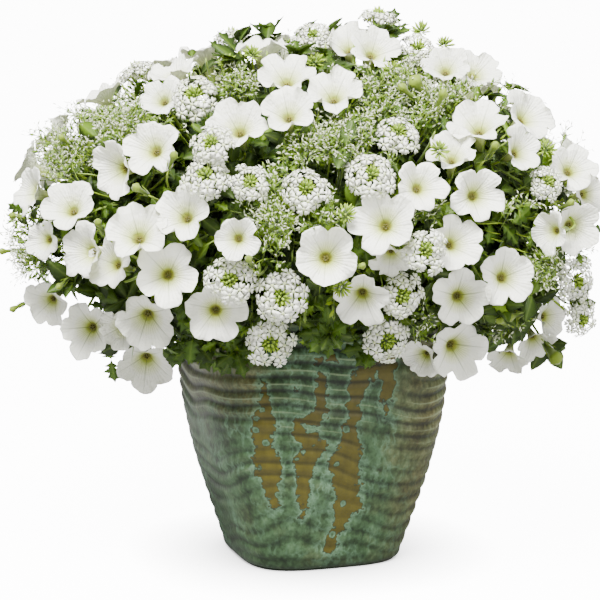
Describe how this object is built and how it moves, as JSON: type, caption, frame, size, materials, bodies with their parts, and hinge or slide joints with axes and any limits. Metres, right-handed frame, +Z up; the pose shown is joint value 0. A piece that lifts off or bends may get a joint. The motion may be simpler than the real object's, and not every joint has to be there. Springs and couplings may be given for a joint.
{
  "type": "potted petunia",
  "caption": "Mound of white petunias with white verbena heads and fine euphorbia sprays over green foliage, in a rounded-square pot with a rippled green drip glaze.",
  "frame": {"origin": "middle of the pot's foot, on the surface that the pot stands on", "axes": "+Z up out of the pot, -Y towards the front that the picture shows, +X to its right"},
  "size_m": [0.6471, 0.5479, 0.6003],
  "materials": {
    "glazed_pot": "glossy mottled green glaze on fired stoneware, with olive-brown runs",
    "potting_mix": "matte dark peat and bark potting mix",
    "foliage": "soft green leaves, stems, calyxes and buds",
    "petunia_petals": "white petals with a yellow-green throat and faint grey-green veins, on green stalks",
    "verbena_petals": "white notched florets round green buds, on green stalks",
    "euphorbia_bracts": "fine pale green stems with small white bracts"
  },
  "bodies": {
    "root": {"euphorbia_01": "euphorbia_bracts", "euphorbia_02": "euphorbia_bracts", "euphorbia_03": "euphorbia_bracts", "euphorbia_04": "euphorbia_bracts", "euphorbia_05": "euphorbia_bracts", "euphorbia_06": "euphorbia_bracts", "euphorbia_07": "euphorbia_bracts", "euphorbia_08": "euphorbia_bracts", "euphorbia_09": "euphorbia_bracts", "euphorbia_10": "euphorbia_bracts", "leafy_stems": "foliage", "petunias_01": "petunia_petals", "petunias_02": "petunia_petals", "petunias_03": "petunia_petals", "petunias_04": "petunia_petals", "petunias_05": "petunia_petals", "petunias_06": "petunia_petals", "petunias_07": "petunia_petals", "petunias_08": "petunia_petals", "petunias_09": "petunia_petals", "petunias_10": "petunia_petals", "petunias_11": "petunia_petals", "petunias_12": "petunia_petals", "petunias_13": "petunia_petals", "petunias_14": "petunia_petals", "petunias_15": "petunia_petals", "pot": "glazed_pot", "potting_mix": "potting_mix", "verbena_01": "verbena_petals", "verbena_02": "verbena_petals", "verbena_03": "verbena_petals", "verbena_04": "verbena_petals", "verbena_05": "verbena_petals", "verbena_06": "verbena_petals", "verbena_07": "verbena_petals", "verbena_08": "verbena_petals", "verbena_09": "verbena_petals", "verbena_10": "verbena_petals", "verbena_11": "verbena_petals", "verbena_12": "verbena_petals", "verbena_13": "verbena_petals", "verbena_14": "verbena_petals", "verbena_15": "verbena_petals", "verbena_16": "verbena_petals", "verbena_17": "verbena_petals", "verbena_18": "verbena_petals", "verbena_19": "verbena_petals", "verbena_20": "verbena_petals", "verbena_21": "verbena_petals", "verbena_22": "verbena_petals", "verbena_23": "verbena_petals", "verbena_24": "verbena_petals"}
  },
  "joints": []
}
